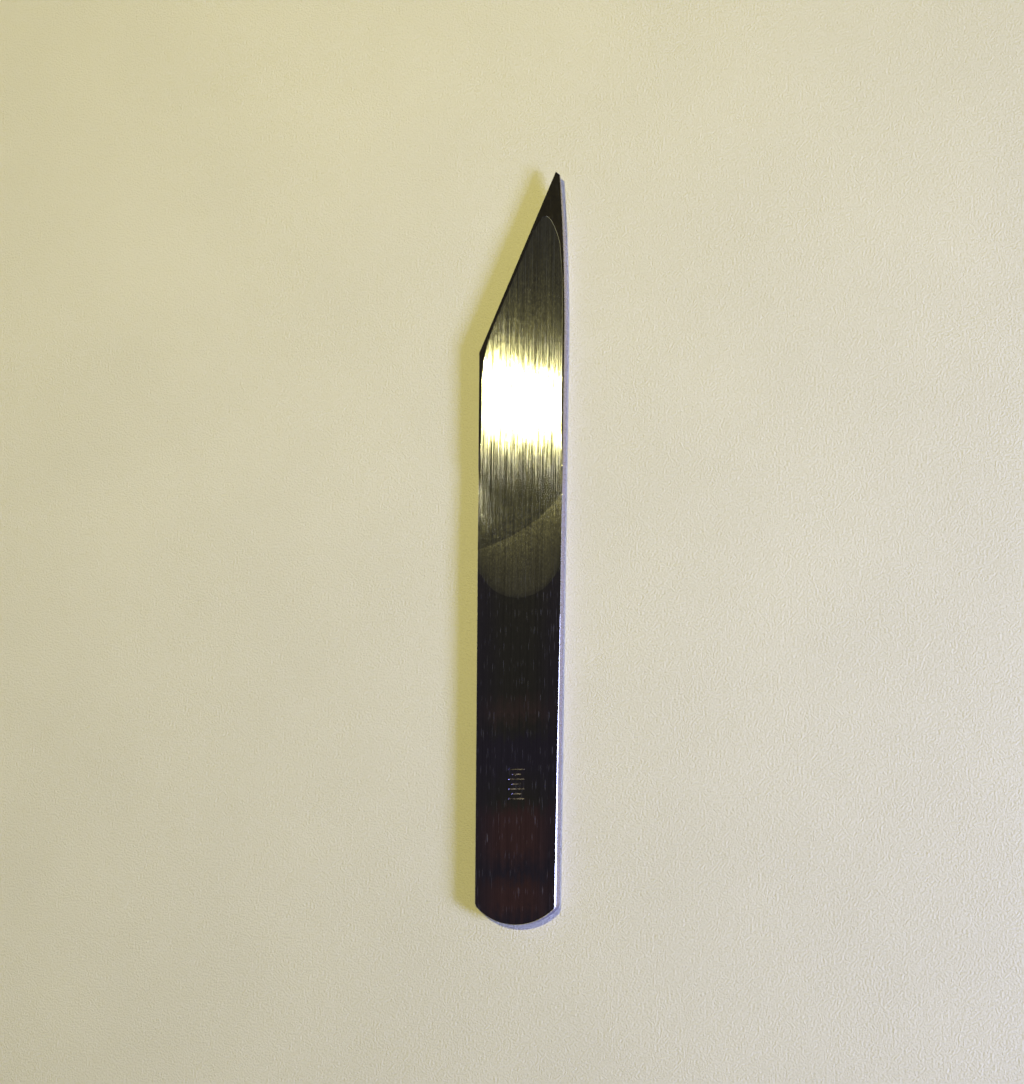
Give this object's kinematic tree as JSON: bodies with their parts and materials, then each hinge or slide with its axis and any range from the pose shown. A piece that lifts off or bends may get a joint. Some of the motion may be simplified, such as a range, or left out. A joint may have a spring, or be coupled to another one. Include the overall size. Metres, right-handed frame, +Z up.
{
  "type": "kiridashi knife",
  "caption": "Slim single-bevel carving and marking knife: soft iron body with a hard steel layer on its hollow-ground back, skewed edge and bare tang.",
  "frame": {"origin": "middle of the knife's outline, on the surface it lies on, which its bevelled face touches", "axes": "+Y towards the point, +X towards the spine, +Z up out of the hollow-ground back"},
  "size_m": [0.024, 0.2, 0.0036],
  "materials": {
    "iron": "soft iron, ground lengthwise and rubbed to a satin finish, ends ground across",
    "steel": "hard steel, hollow brushed lengthwise, rims and bevel honed bright"
  },
  "bodies": {
    "root": {"iron_body": "iron", "steel_edge": "steel"}
  },
  "joints": []
}
